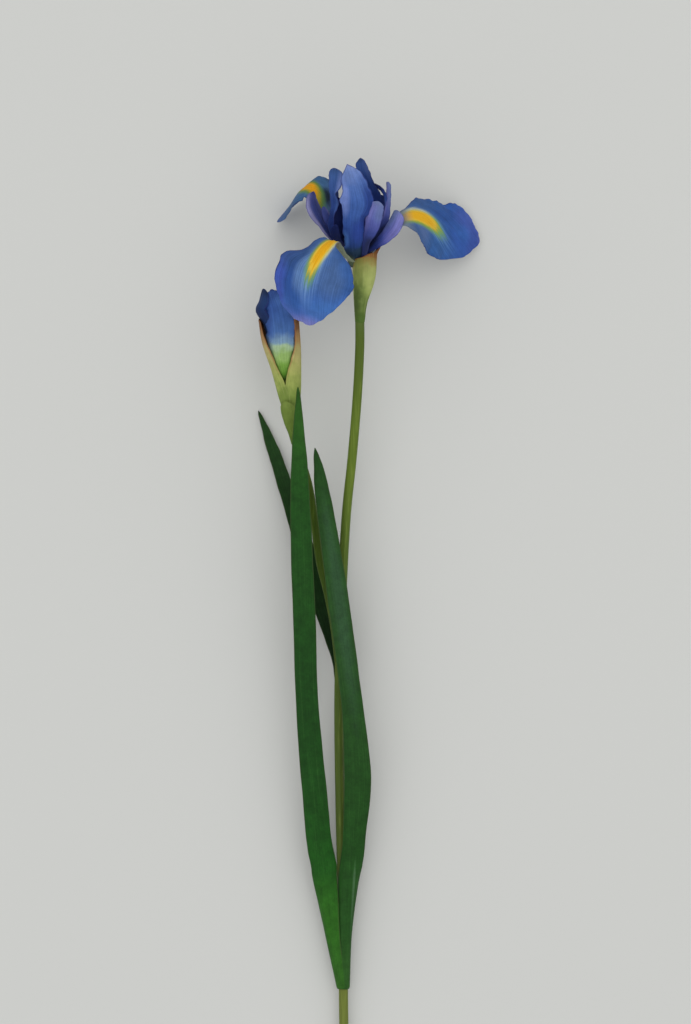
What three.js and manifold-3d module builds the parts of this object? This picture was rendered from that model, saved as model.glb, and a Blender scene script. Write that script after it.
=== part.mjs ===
// Cut stem of a blue iris: an open bloom, a bud on a side branch and three leaves, lying on a table.
// Millimetres. x runs across the plant, y along it from the cut end to the bloom, z up from the table.
import * as THREE from 'three';
import { mergeVertices } from 'three/addons/utils/BufferGeometryUtils.js';
import Module from 'manifold-3d';

const wasm = await Module();
wasm.setup();

// Driving dimensions.
const stemRadius = 2.6;
const branchRadius = 2.2;
const stemSides = 12;
const stemRows = 44;
const branchRows = 26;
const petalThickness = 0.9;
const bractThickness = 0.8;
const leafThickness = 1.1;
const stamenThickness = 0.9;
const gap = 0.35; // clearance kept between pieces that touch
const edgeGrowth = 3; // how many gaps a blade's thin edges reach out when room is cut for it
const roundTip = 0.24; // share of a petal's length over which its tip is rounded
const bluntTip = 0.12;
const sharpTip = 0; // the widths alone bring the blade to a point
const tipDensity = 1.4; // above 1 the rows of a blade crowd towards its tip
const almostFlat = 1e-6; // stands in for a curl of nothing, in radians a millimetre
const mergeDistance = 1e-4; // points of a mesh nearer than this are one

// How finely each kind of blade is faceted: rows along it and columns across it.
const petalGrid = { rows: 16, across: 8 };
const styleGrid = { rows: 10, across: 6 };
const stamenGrid = { rows: 8, across: 4 };
const budGrid = { rows: 12, across: 8 };
const bractGrid = { rows: 12, across: 10 };
const leafGrid = { rows: 26, across: 6 };

// Each blade is listed from its base to its tip. A station holds the midrib's x, y, z, the half
// widths left and right of it, the curl of the cross-section and the twist, both in degrees.
// A positive curl turns the edges towards the face, which is tangent x side.

const stemPath = [
  [0, 0, 2.6], [-0.5, 49, 5.4], [-1.5, 111, 8.6], [-3, 168, 11.6], [-3.5, 225, 14.6],
  [-1.5, 276, 17.2], [1.5, 327, 20.2], [4.5, 361, 22.4], [7, 394, 24.6], [8.5, 422, 26.6], [8.6, 438, 27.6],
];

const branchPath = [
  [-4.5, 247, 20.8], [-8, 268, 21.4], [-11, 285, 22], [-14.5, 304, 23], [-17, 327, 24.4],
  [-20, 346, 26], [-25, 363, 27.6], [-29.5, 378, 28.6], [-31, 392, 29],
];

const falls = {
  fall_front: {
    side: [0.9, -0.2, 0.4],
    tip: roundTip,
    stations: [
      [7, 472.5, 34, 2.2, 2.2, 40, 0],
      [1.5, 475.5, 47, 5, 5, 40, 0],
      [-3.5, 478.5, 60, 7.5, 7.5, 30, 0],
      [-8.5, 477, 69, 9.5, 11.5, 5, 0],
      [-14.5, 469.5, 73.5, 15, 22, -12, 0],
      [-19.5, 459.5, 71, 22.5, 24.5, -22, 0],
      [-21, 448, 64, 20, 22, -22, 0],
      [-20.5, 435, 53, 16, 15, -12, 0],
    ],
  },
  fall_right: {
    side: [0, 0.8, -0.6],
    tip: roundTip,
    stations: [
      [13, 474, 31, 2.2, 2.2, 40, 0],
      [21.5, 484, 37, 4.5, 4.5, 35, 0],
      [30.5, 493.5, 41, 7, 5, 15, 0],
      [38, 498, 42, 13.5, 8, -20, 0],
      [47, 498, 36.5, 21.5, 17, -40, 0],
      [57.5, 493.5, 25.5, 20, 22, -42, 0],
      [68, 490.5, 12.5, 17, 21.5, -38, 0],
      [77.5, 489, 1.5, 13, 16, -28, 0],
    ],
  },
  fall_back: {
    side: [-0.2, -0.45, 0.87],
    tip: roundTip,
    stations: [
      [6, 475.5, 24, 2.2, 2.2, 40, 0],
      [0.5, 486, 25, 4.5, 4.5, 35, -10],
      [-6, 499.5, 27.5, 8, 7, 15, -30],
      [-12.5, 510.5, 28, 10.5, 9.5, 0, -35],
      [-18.5, 515.5, 26.5, 14, 12.5, -12, -15],
      [-25, 512, 21, 17.5, 16, -20, 4],
      [-31, 504.5, 12, 17.5, 16, -20, 6],
      [-37.5, 497.5, 2.5, 12, 12, -15, 6],
    ],
  },
};

const standards = {
  standard_front: {
    side: [1, 0, 0],
    tip: bluntTip,
    stations: [
      [8.5, 475, 34, 1.8, 1.8, 30, 0],
      [6, 484, 40, 5.5, 5, 35, 0],
      [6, 496.5, 48, 8, 9, 35, 0],
      [6, 508.5, 54, 8, 8, 30, 0],
      [4, 517, 58, 6.5, 6, 20, 0],
      [1.5, 523.5, 61, 4, 4, 10, 0],
    ],
  },
  standard_left: {
    side: [0.45, -0.3, 0.84],
    tip: bluntTip,
    stations: [
      [6.5, 476, 31.5, 1.8, 1.8, 30, 0],
      [-0.5, 484.5, 38, 5, 5, 35, 0],
      [-4.5, 497.5, 44, 8, 8, 35, 0],
      [-5, 509, 49, 8, 8, 30, 0],
      [-5, 517.5, 52.5, 6, 6, 20, 0],
      [-5, 522.5, 54.5, 4, 4, 10, 0],
    ],
  },
  standard_back: {
    side: [-0.89, 0.23, -0.33],
    tip: bluntTip,
    stations: [
      [11, 477, 25.5, 1.8, 1.8, 30, 0],
      [14.5, 486.5, 28, 5, 5, 35, 0],
      [16.5, 500, 33, 8, 8, 35, 0],
      [15.5, 512, 38, 8, 8, 30, 0],
      [12, 521.5, 43, 6, 6, 20, 0],
      [9, 528, 45, 4, 4, 10, 0],
    ],
  },
};

const styleArms = {
  style_arm_right: [
    {
      side: [-0.5, 0.5, -0.7],
      stations: [
        [10.5, 476.5, 33, 1.5, 1.5, -20, 0],
        [16.5, 482.5, 39, 4.5, 4, -35, 0],
        [23, 489, 44, 7.5, 6, -45, 0],
        [27.5, 494.5, 47, 8, 6, -45, 0],
        [30.5, 499, 47.5, 6, 4, -35, 0],
      ],
    },
    {
      side: [0.9, -0.2, 0.3],
      stations: [
        [14, 481, 38, 2, 2, 20, 0],
        [15, 487, 46, 4, 4, 30, 0],
        [16, 495.5, 51, 4.5, 4.5, 30, 0],
        [19, 502.5, 53, 3, 3, 10, 0],
      ],
    },
    {
      side: [0.9, -0.2, 0.3],
      stations: [
        [22, 491, 42, 2.5, 2.5, 20, 0],
        [23.5, 502.5, 38, 3, 3, 20, 0],
        [24.5, 515, 35, 2.5, 2.5, 10, 0],
      ],
    },
  ],
  style_arm_back: [
    {
      side: [-0.7, -0.4, 0.6],
      stations: [
        [9.5, 475.5, 29.5, 1.5, 1.5, -20, 0],
        [-1.5, 485.5, 31.5, 3.4, 3.4, -25, 0],
        [-9.5, 494, 35, 4.8, 4.8, -35, 0],
        [-15.5, 503, 37.5, 4.6, 4.6, -35, 0],
        [-18, 509, 38, 3.4, 3.4, -30, 0],
      ],
    },
    {
      side: [1, 0, 0],
      stations: [
        [-5.5, 488, 32, 2.4, 2.4, 20, 0],
        [-8, 494, 38.5, 4, 4, 30, 0],
        [-10, 500, 41, 3, 3, 10, 0],
      ],
    },
  ],
  style_arm_front: [
    {
      side: [0.9, -0.2, 0.4],
      stations: [
        [10.5, 474.5, 31.5, 1.5, 1.5, -20, 0],
        [4.5, 480, 46, 3.6, 3.6, -30, 0],
        [-1.5, 484, 58, 4.5, 4.5, -35, 0],
        [-3.5, 488, 62, 3, 3, -30, 0],
      ],
    },
  ],
};

const leaves = {
  leaf_left: {
    side: [1, 0, 0],
    stations: [
      [-3.6, 61, 8, 4.2, 4.6, 75, -60],
      [-8.8, 89, 10.8, 5.2, 6, 68, -58],
      [-12, 118, 15.6, 7, 8, 55, -20],
      [-13.2, 132, 17.4, 7.2, 9, 50, -8],
      [-14.4, 145, 18.6, 7.4, 8, 40, 0],
      [-17, 175, 21.6, 7.2, 7.2, 25, 0],
      [-21, 226, 26.5, 6.4, 6.4, 20, 0],
      [-23, 282, 31.5, 6.3, 6.3, 20, 0],
      [-25.4, 332, 37, 5.2, 5.2, 20, 0],
      [-25.5, 371, 42, 3.7, 3.7, 15, 0],
      [-25.5, 400.5, 46, 0, 0, 10, 0],
    ],
  },
  leaf_right: {
    side: [1, 0, 0],
    stations: [
      [2.1, 61, 8.2, 4.4, 4.2, 72, 52],
      [2.7, 89, 11, 7.8, 4.6, 100, 50],
      [4.4, 118, 14.8, 9.4, 6.2, 90, 30],
      [5.2, 132, 16.6, 7.8, 6.6, 60, 15],
      [6, 146, 18, 6.4, 6.4, 40, 5],
      [7.8, 180, 21, 7.4, 7.4, 25, 0],
      [5.5, 216, 25, 6, 6, 20, 0],
      [0.5, 253, 29, 6, 6, 20, 0],
      [-4.5, 290, 32, 6, 6, 20, 0],
      [-10.5, 330, 34, 4.6, 4.6, 20, 0],
      [-13.5, 350, 35, 3.2, 3.2, 15, 0],
      [-16.5, 367, 36, 0, 0, 10, 0],
    ],
  },
  leaf_back: {
    side: [1, 0, 0],
    stations: [
      [-3.5, 231, 11, 2.5, 2.5, -40, 0],
      [-5, 250, 10.2, 4.5, 4.5, -30, 0],
      [-12.5, 277, 7.8, 5.5, 5.5, -25, 0],
      [-20.5, 304, 6.2, 5.5, 5.5, -20, 0],
      [-29, 332, 4.8, 4.8, 4.8, -20, 0],
      [-36.5, 355, 3.5, 4, 4, -20, 0],
      [-42.5, 372, 2.3, 2.8, 2.8, -15, 0],
      [-48.5, 388, 1, 0, 0, -10, 0],
    ],
  },
};

const bracts = {
  bloom_spathe_outer: {
    side: [0.8, 0, -0.6],
    stations: [
      [9.9, 438.4, 29.6, 4.6, 4.6, 110, 0],
      [11.8, 449, 31.6, 7.6, 7.6, 110, 0],
      [14.6, 462, 34, 11.5, 11.5, 110, 0],
      [16.6, 471.5, 34.9, 8.5, 8.5, 80, 0],
      [20, 479, 35, 0, 0, 30, 0],
    ],
  },
  bloom_spathe_inner: {
    side: [-0.8, 0, 0.6],
    stations: [
      [7.4, 438.4, 26.3, 4, 4, 110, 0],
      [7.5, 449, 25.9, 6.2, 6.2, 110, 0],
      [7.6, 462, 25, 9.2, 9.2, 110, 0],
      [7.6, 472, 24.3, 7, 7, 80, 0],
      [7, 479, 24, 0, 0, 30, 0],
    ],
  },
  bud_spathe_left: {
    side: [-0.3, 0, 0.9],
    stations: [
      [-32.5, 384, 28, 4.5, 4.5, 100, 0],
      [-36.3, 396, 28, 9, 9.5, 100, 0],
      [-40.3, 411, 28, 11, 11, 85, 0],
      [-45.3, 426, 29, 6.5, 6.5, 60, 0],
      [-49, 440, 31, 0, 0, 30, 0],
    ],
  },
  bud_spathe_right: {
    side: [0.1, 0, -0.9],
    stations: [
      [-28, 384, 29, 5.5, 5.5, 100, 0],
      [-25.6, 396, 29.5, 10.5, 10.5, 100, 0],
      [-24.6, 411, 30, 12, 12, 90, 0],
      [-25.4, 426, 30.5, 7.5, 8, 60, 0],
      [-26.6, 437, 31.5, 0, 0, 30, 0],
    ],
  },
  bud_bract: {
    side: [0.95, 0, 0.3],
    stations: [
      [-29, 371, 32, 4.5, 4.5, 100, 0],
      [-31.3, 382, 35.2, 8, 8, 95, 0],
      [-31.3, 391, 37.5, 7, 6.5, 60, 0],
      [-29.5, 398, 39, 0, 0, 20, 0],
    ],
  },
};

const budPetals = {
  bud_petal_front: {
    side: [1, 0, 0],
    tip: roundTip,
    stations: [
      [-31, 390, 30.5, 1.5, 1.5, 60, 0],
      [-31, 404, 34, 4.8, 4.8, 60, 0],
      [-33.3, 419.5, 37.5, 9.4, 9.4, 68, 0],
      [-36.5, 436, 39.3, 10.8, 10.8, 70, 0],
      [-39.5, 448, 39, 9.5, 9.5, 65, 0],
      [-41.5, 455.5, 37.5, 6, 6, 40, 0],
    ],
  },
  bud_petal_left: {
    side: [0.4, 0, 0.9],
    tip: roundTip,
    stations: [
      [-32, 390, 28.5, 1.5, 1.5, 60, 0],
      [-35, 404, 29.6, 4, 4, 60, 0],
      [-40.5, 419.5, 30.8, 6.5, 6.5, 60, 0],
      [-45, 436, 31.6, 7.5, 7.5, 60, 0],
      [-48.5, 446, 32, 7.5, 7.5, 55, 0],
      [-44.5, 456, 32.5, 3, 3, 40, 0],
    ],
  },
  bud_petal_back: {
    side: [-0.85, 0, -0.5],
    tip: roundTip,
    stations: [
      [-30.5, 390, 28, 1.5, 1.5, 60, 0],
      [-29.5, 404, 26, 4, 4, 60, 0],
      [-31.5, 419.5, 24.5, 7, 7, 60, 0],
      [-33.8, 436, 23.5, 8.5, 8.5, 60, 0],
      [-37, 448, 24.5, 8, 8, 60, 0],
      [-41, 456.5, 27.5, 3, 3, 40, 0],
    ],
  },
};

const stamens = {
  stamen_right: {
    side: [0.2, 0.4, -0.9],
    stations: [
      [12.5, 477, 32.5, 0.7, 0.7, 0, 0],
      [17, 482, 36.5, 0.7, 0.7, 0, 0],
      [22, 487.5, 40.8, 1.3, 1.3, 0, 0],
      [27, 493, 44, 0.7, 0.7, 0, 0],
    ],
  },
  stamen_back: {
    side: [-0.2, -0.45, 0.87],
    stations: [
      [9, 476, 27.5, 0.7, 0.7, 0, 0],
      [0.5, 485.5, 28, 0.7, 0.7, 0, 0],
      [-4.5, 491, 29.5, 1.3, 1.3, 0, 0],
      [-9.5, 498, 31, 0.7, 0.7, 0, 0],
    ],
  },
  stamen_front: {
    side: [0.9, -0.2, 0.4],
    stations: [
      [10, 474, 31.5, 0.7, 0.7, 0, 0],
      [4.5, 477.2, 43, 0.7, 0.7, 0, 0],
      [0.5, 479.5, 52.5, 1.3, 1.3, 0, 0],
      [-2, 481, 58, 0.7, 0.7, 0, 0],
    ],
  },
};

// The ovary and tube of the bloom: a swollen rod about the bloom's own axis.
const tubeFoot = [8.7, 438.4, 27.8];
const tubeTop = [12, 474, 29.6];
const tubeProfile = [[1.7, 0], [2.4, 8], [2.7, 18], [2.9, 28], [3, 33], [2.2, 35.4]];
const tubeSides = 12;

// Reads a station list as smooth curves of place, widths, and curl with twist.
function curvesThrough(stations) {
  const through = (first, second, third) =>
    new THREE.CatmullRomCurve3(
      stations.map((s) => new THREE.Vector3(s[first] ?? 0, s[second] ?? 0, s[third] ?? 0)),
      false,
      'catmullrom',
    );
  return { midrib: through(0, 1, 2), widths: through(3, 4, -1), turns: through(5, 6, -1) };
}

// One closed blade: a thin skin, thickest at the midrib, that meets itself along both edges.
function blade({ stations, side, thickness, rows, across, tip = sharpTip, grow = 0 }) {
  const { midrib, widths, turns } = curvesThrough(stations);
  const hint = new THREE.Vector3(...side).normalize();
  const positions = [];
  const triangles = [];
  const addPoint = (point) => positions.push(point.x, point.y, point.z) / 3 - 1;

  const rings = [];
  for (let row = 0; row < rows; row += 1) {
    const t = 1 - (1 - row / rows) ** tipDensity;
    const tangent = midrib.getTangent(t);
    const centre = midrib.getPoint(t).addScaledVector(tangent, row === 0 ? -grow : 0);
    const { x: left, y: right } = widths.getPoint(t);
    const { x: curl, y: twist } = turns.getPoint(t);
    const sideways = hint.clone().addScaledVector(tangent, -hint.dot(tangent)).normalize();
    sideways.applyAxisAngle(tangent, THREE.MathUtils.degToRad(twist));
    const face = tangent.clone().cross(sideways);
    const towardsTip = tip > 0 ? Math.max(0, (t - (1 - tip)) / tip) : 0;
    const rounding = Math.sqrt(1 - towardsTip * towardsTip);
    const bend = THREE.MathUtils.degToRad(curl) / Math.max(left, right, 1) || almostFlat;

    const upper = [];
    const lower = [];
    for (let column = 0; column <= across; column += 1) {
      const u = (2 * column) / across - 1;
      const reach = (u < 0 ? left : right) * rounding + edgeGrowth * grow;
      const angle = bend * u * reach;
      const point = centre
        .clone()
        .addScaledVector(sideways, Math.sin(angle) / bend)
        .addScaledVector(face, (1 - Math.cos(angle)) / bend);
      if (column === 0 || column === across) {
        upper.push(addPoint(point));
        lower.push(upper[column]);
        continue;
      }
      const normal = face.clone().multiplyScalar(Math.cos(angle)).addScaledVector(sideways, -Math.sin(angle));
      const half = (thickness / 2) * Math.sqrt(1 - u * u) + grow;
      upper.push(addPoint(point.clone().addScaledVector(normal, half)));
      lower.push(addPoint(point.clone().addScaledVector(normal, -half)));
    }
    rings.push({ upper, lower });
  }

  const apex = addPoint(midrib.getPoint(1).addScaledVector(midrib.getTangent(1), grow));
  const quad = (a, b, c, d) => triangles.push(a, b, c, a, c, d);
  for (let row = 0; row < rows; row += 1) {
    const here = rings[row];
    const next = rings[row + 1];
    for (let column = 0; column < across; column += 1) {
      if (next) {
        quad(here.upper[column], next.upper[column], next.upper[column + 1], here.upper[column + 1]);
        quad(here.lower[column], here.lower[column + 1], next.lower[column + 1], next.lower[column]);
      } else {
        triangles.push(here.upper[column], apex, here.upper[column + 1]);
        triangles.push(here.lower[column], here.lower[column + 1], apex);
      }
    }
  }
  const base = rings[0];
  for (let column = 0; column < across; column += 1) {
    const [a, b] = [base.upper[column], base.lower[column]];
    const [c, d] = [base.lower[column + 1], base.upper[column + 1]];
    if (column > 0) triangles.push(a, c, b);
    if (column < across - 1) triangles.push(a, d, c);
  }

  const geometry = new THREE.BufferGeometry();
  geometry.setAttribute('position', new THREE.Float32BufferAttribute(positions, 3));
  geometry.setIndex(triangles);
  return geometry;
}

function toSolid(geometry) {
  const bare = geometry.clone();
  bare.deleteAttribute('normal');
  bare.deleteAttribute('uv');
  const merged = mergeVertices(bare, mergeDistance);
  const mesh = new wasm.Mesh({
    numProp: 3,
    vertProperties: new Float32Array(merged.attributes.position.array),
    triVerts: new Uint32Array(merged.index.array),
  });
  mesh.merge();
  return new wasm.Manifold(mesh);
}

function toGeometry(solid) {
  const mesh = solid.getMesh();
  const geometry = new THREE.BufferGeometry();
  geometry.setAttribute('position', new THREE.Float32BufferAttribute(mesh.vertProperties, 3));
  geometry.setIndex(Array.from(mesh.triVerts));
  return geometry;
}

// A round stem along a path of points, which grows past both of its ends too.
function stem(path, radius, rows, grow) {
  const points = path.map((p) => new THREE.Vector3(...p));
  const spine = new THREE.CatmullRomCurve3(points, false, 'catmullrom');
  const [first, last] = [points[0], points[points.length - 1]];
  const [out, away] = [spine.getTangent(0), spine.getTangent(1)];
  first.addScaledVector(out, -grow);
  last.addScaledVector(away, grow);
  const section = new THREE.Shape();
  for (let side = 0; side < stemSides; side += 1) {
    const angle = (2 * Math.PI * side) / stemSides;
    const [x, y] = [(radius + grow) * Math.cos(angle), (radius + grow) * Math.sin(angle)];
    if (side === 0) section.moveTo(x, y);
    else section.lineTo(x, y);
  }
  section.closePath();
  return new THREE.ExtrudeGeometry(section, { steps: rows, bevelEnabled: false, extrudePath: spine });
}

// The flower tube, turned about its axis and laid from its foot to its top.
function flowerTube(grow) {
  const foot = new THREE.Vector3(...tubeFoot);
  const axis = new THREE.Vector3(...tubeTop).sub(foot);
  const [, last] = tubeProfile[tubeProfile.length - 1];
  const profile = tubeProfile.map(([radius, height]) => new THREE.Vector2(radius + grow, height));
  profile.unshift(new THREE.Vector2(0, -grow));
  profile[1].y -= grow;
  profile[profile.length - 1].y += grow;
  profile.push(new THREE.Vector2(0, last + grow));
  const geometry = new THREE.LatheGeometry(profile, tubeSides);
  const up = new THREE.Vector3(0, 1, 0);
  geometry.applyQuaternion(new THREE.Quaternion().setFromUnitVectors(up, axis.normalize()));
  return geometry.translate(foot.x, foot.y, foot.z);
}

const finishes = {
  stem: { color: 0x6b7a2c, roughness: 0.55 },
  leaf: { color: 0x2f5a24, roughness: 0.5 },
  bract: { color: 0x93a05a, roughness: 0.7 },
  petal: { color: 0x3c5f9f, roughness: 0.7 },
  styleArm: { color: 0x6568a4, roughness: 0.7 },
  stamen: { color: 0xc9b873, roughness: 0.8 },
  tube: { color: 0x8f9f63, roughness: 0.6 },
};

// Every piece, with the ones that keep their full shape first: each later one is cut back to leave
// the gap where it meets an earlier one.
const pieces = [];

function addPiece(name, finish, shape) {
  pieces.push({ name, finish, solid: toSolid(shape(0)), grown: toSolid(shape(gap)) });
}

function addBlades(group, finish, thickness, grid) {
  for (const [name, form] of Object.entries(group)) {
    addPiece(name, finish, (grow) => blade({ ...form, ...grid, thickness, grow }));
  }
}

addPiece('main_stem', 'stem', (grow) => stem(stemPath, stemRadius, stemRows, grow));
addPiece('bud_branch', 'stem', (grow) => stem(branchPath, branchRadius, branchRows, grow));
addPiece('flower_tube', 'tube', flowerTube);
addBlades(falls, 'petal', petalThickness, petalGrid);
for (const [name, parts] of Object.entries(styleArms)) {
  const join = (grow) =>
    parts
      .map((form) => blade({ ...form, ...styleGrid, tip: bluntTip, thickness: petalThickness, grow }))
      .map(toSolid)
      .reduce((whole, part) => whole.add(part));
  pieces.push({ name, finish: 'styleArm', solid: join(0), grown: join(gap) });
}
addBlades(standards, 'petal', petalThickness, petalGrid);
addBlades(stamens, 'stamen', stamenThickness, stamenGrid);
addBlades(budPetals, 'petal', petalThickness, budGrid);
addBlades(bracts, 'bract', bractThickness, bractGrid);
addBlades(leaves, 'leaf', leafThickness, leafGrid);

function boxesMeet(first, second) {
  const [a, b] = [first.boundingBox(), second.boundingBox()];
  return [0, 1, 2].every((axis) => a.min[axis] <= b.max[axis] && b.min[axis] <= a.max[axis]);
}

// The body that is left when a cut has also freed small slivers.
function mainBody(solid) {
  return solid.decompose().reduce((most, body) => (body.volume() > most.volume() ? body : most));
}

const plant = new THREE.Group();
pieces.forEach(({ name, finish, solid }, index) => {
  const room = pieces.slice(0, index).filter((earlier) => boxesMeet(earlier.grown, solid));
  const cut = room.reduce((left, earlier) => left.subtract(earlier.grown), solid);
  const mesh = new THREE.Mesh(toGeometry(mainBody(cut)), new THREE.MeshStandardMaterial(finishes[finish]));
  mesh.name = name;
  plant.add(mesh);
});

// The origin lies under the middle of the plant, on the table.
const extent = new THREE.Box3().setFromObject(plant);
const middle = extent.getCenter(new THREE.Vector3());
plant.position.set(-middle.x, -middle.y, -extent.min.z);

export default new THREE.Group().add(plant);
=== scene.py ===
import math

import bmesh
import bpy
import numpy as np
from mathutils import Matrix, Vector


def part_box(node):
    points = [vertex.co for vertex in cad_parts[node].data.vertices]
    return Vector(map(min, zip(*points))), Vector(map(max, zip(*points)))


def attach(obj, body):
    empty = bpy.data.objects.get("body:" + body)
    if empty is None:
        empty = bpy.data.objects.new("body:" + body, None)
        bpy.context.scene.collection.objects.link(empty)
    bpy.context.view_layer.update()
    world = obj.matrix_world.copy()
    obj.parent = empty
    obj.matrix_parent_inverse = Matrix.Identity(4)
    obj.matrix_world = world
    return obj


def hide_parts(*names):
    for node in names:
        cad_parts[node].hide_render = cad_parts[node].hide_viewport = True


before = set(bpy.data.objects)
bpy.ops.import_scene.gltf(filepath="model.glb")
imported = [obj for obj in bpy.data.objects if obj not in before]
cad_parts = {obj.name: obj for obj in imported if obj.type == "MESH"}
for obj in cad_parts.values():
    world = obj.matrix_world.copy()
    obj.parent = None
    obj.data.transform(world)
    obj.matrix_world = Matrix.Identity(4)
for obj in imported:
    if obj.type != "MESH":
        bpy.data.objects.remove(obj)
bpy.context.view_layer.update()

scene = bpy.context.scene
mm = 0.001
stemRadius = 2.6  # mm


# The foot of everything: the point on the table under the middle of the stem's cut end.
# All the shapes below are in mm from here, x across the plant, y along it, z up.
def cutEnd():
    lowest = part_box("main_stem")[0].y
    ring = np.array([v.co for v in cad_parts["main_stem"].data.vertices if v.co.y < lowest + mm])
    return Vector((ring.min(0) + ring.max(0)) / 2) - Vector((0, 0, stemRadius * mm))


origin = cutEnd()

# camera, looking straight down on the flower
view = {
    "height": 1800,
    "across": 0.6,
    "along": 331.5,
    "lens": 111.1,
    "sensor": 36,
}
camera = bpy.data.objects.new("camera", bpy.data.cameras.new("camera"))
scene.collection.objects.link(camera)
camera.data.lens = view["lens"]
camera.data.sensor_width = view["sensor"]
camera.location = origin + Vector((view["across"], view["along"], view["height"])) * mm
scene.camera = camera

# table and light
studio = {
    "table": "c6c7c4",
    "tableSize": 8,  # metres
    "sky": 0.93,
    "lamps": {  # watts, size in metres, place above the table
        "key": (4.6, 1.5, (0.45, 0.7, 1.7)),
        "fill": (2, 1.5, (-0.7, -0.4, 1.5)),
    },
}


# A colour as it looks on a screen, from its six hex digits.
def tone(digits):
    parts = [int(digits[at:at + 2], 16) / 255 for at in (0, 2, 4)]
    return (*[p / 12.92 if p <= 0.04045 else ((p + 0.055) / 1.055) ** 2.4 for p in parts], 1)


def newFinish(name, gloss):
    material = bpy.data.materials.new(name)
    material.use_nodes = True
    shader = material.node_tree.nodes["Principled BSDF"]
    for socket, value in gloss.items():
        shader.inputs[socket].default_value = value
    return material


def makeStudio():
    scene.view_settings.view_transform = "Standard"
    world = bpy.data.worlds.new("studio")
    scene.world = world
    world.use_nodes = True
    sky = world.node_tree.nodes["Background"]
    sky.inputs["Color"].default_value = (1, 1, 1, 1)
    sky.inputs["Strength"].default_value = studio["sky"]
    for name, (power, size, place) in studio["lamps"].items():
        lamp = bpy.data.lights.new(name, "AREA")
        lamp.energy = power
        lamp.size = size
        holder = bpy.data.objects.new(name, lamp)
        holder.location = place
        holder.rotation_euler = (-Vector(place)).to_track_quat("-Z", "Y").to_euler()
        scene.collection.objects.link(holder)
    bpy.ops.mesh.primitive_plane_add(size=studio["tableSize"], location=(0, 0, 0))
    table = bpy.context.object
    table.name = "table"
    plain = {"Base Color": tone(studio["table"]), "Roughness": 0.9, "Specular IOR Level": 0.1}
    table.data.materials.append(newFinish("table", plain))


makeStudio()
print("studio ready")


# A smooth curve through rows of numbers; share runs from 0 at the first row to 1 at the last.
def runThrough(rows, share):
    rows = np.asarray(rows, float)
    place = np.clip(share, 0, 1) * (len(rows) - 1)
    start = np.minimum(place.astype(int), len(rows) - 2)
    f = (place - start)[:, None]
    longer = np.vstack([2 * rows[0] - rows[1], rows, 2 * rows[-1] - rows[-2]])
    a, b, c, d = (longer[start + step] for step in range(4))
    return 0.5 * (2 * b + (c - a) * f + (2 * a - 5 * b + 4 * c - d) * f**2 + (3 * b - a - 3 * c + d) * f**3)


def unit(rows):
    return rows / np.linalg.norm(rows, axis=1)[:, None]


def bell(x, middle, width):
    return np.exp(-(((x - middle) / width) ** 2))


# An uneven wave: three sines that never quite fall in step.
def waves(x, phase):
    return np.sin(x + phase) + 0.6 * np.sin(1.7 * x + 2.1 * phase) + 0.4 * np.sin(3.1 * x + 4.3 * phase)


# How far along the blade its end lies, for each place u across it from -1 to 1. A form gives
# it as a line of heights, or as the depth and power of a rounding left and right of the tip.
def endOf(form, u):
    waveCount, shortest = 9, 0.05
    if "endLine" in form:
        heights = np.array(form["endLine"], float)[:, None]
        end = runThrough(heights, (u + 1) / 2)[:, 0]
    else:
        (leftDepth, leftPower), (rightDepth, rightPower) = form["end"]
        depth = np.where(u < 0, leftDepth, rightDepth)
        power = np.where(u < 0, leftPower, rightPower)
        end = 1 - depth * (1 - (1 - np.abs(u) ** power) ** (1 / power))
    return np.clip(end + form.get("endWave", 0) * waves(waveCount * u, form.get("phase", 0)), shortest, 1)


# The middle surface of a blade. Its stations run from base to tip and hold the midrib's x, y, z,
# the half widths left and right of it, the curl of the cross-section in degrees and, where the
# blade turns about its midrib, the twist in degrees.
def layBlade(form):
    nudge, leastBend, nibbles, footRim = 1e-4, 1e-6, 38, 0.1
    stations = form["stations"]
    rows, columns = form["grid"]
    along = 1 - (1 - np.linspace(0, 1, rows + 1)) ** form["crowd"]  # rows crowd towards the tip
    across = np.sin(np.linspace(-1, 1, columns + 1) * math.pi / 2)  # and columns towards the margins
    u = np.tile(across, rows + 1)
    v = (along[:, None] * endOf(form, across)[None, :]).ravel()

    line = runThrough(stations, v)
    share = np.clip(v, nudge, 1 - nudge)
    tangent = unit((runThrough(stations, share + nudge) - runThrough(stations, share - nudge))[:, :3])
    side = np.array(form["side"], float) / np.linalg.norm(form["side"])
    level = unit(side - tangent * (tangent @ side)[:, None])
    up = np.cross(tangent, level)
    twist = np.radians(line[:, 6:7] if len(stations[0]) > 6 else np.zeros((len(line), 1)))
    sideways = level * np.cos(twist) + up * np.sin(twist)
    face = up * np.cos(twist) - level * np.sin(twist)

    left, right, curl = line[:, 3], line[:, 4], np.radians(line[:, 5])
    bend = curl / np.maximum(np.maximum(left, right), 1)
    bend = np.where(np.abs(bend) < leastBend, leastBend, bend)
    half = np.where(u < 0, left, right)
    half = half + form.get("nibble", 0) * waves(nibbles * v, form.get("phase", 0) + np.sign(u)) * u**4
    reach = half * u
    angle = bend * reach
    out = (np.sin(angle) / bend)[:, None] * sideways
    lift = ((1 - np.cos(angle)) / bend)[:, None] * face
    points = line[:, :3] + out + lift
    normals = face * np.cos(angle)[:, None] - sideways * np.sin(angle)[:, None]

    midrib = runThrough(stations, np.linspace(0, 1, 60))[:, :3]
    length = np.linalg.norm(np.diff(midrib, axis=0), axis=1).sum()
    fromEnd = (1 - np.repeat(along, columns + 1)) * length
    margin = np.minimum((1 - np.abs(u)) * half, fromEnd)
    foot = footRim + v * length
    return points, normals, u, v, reach, margin, foot


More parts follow.
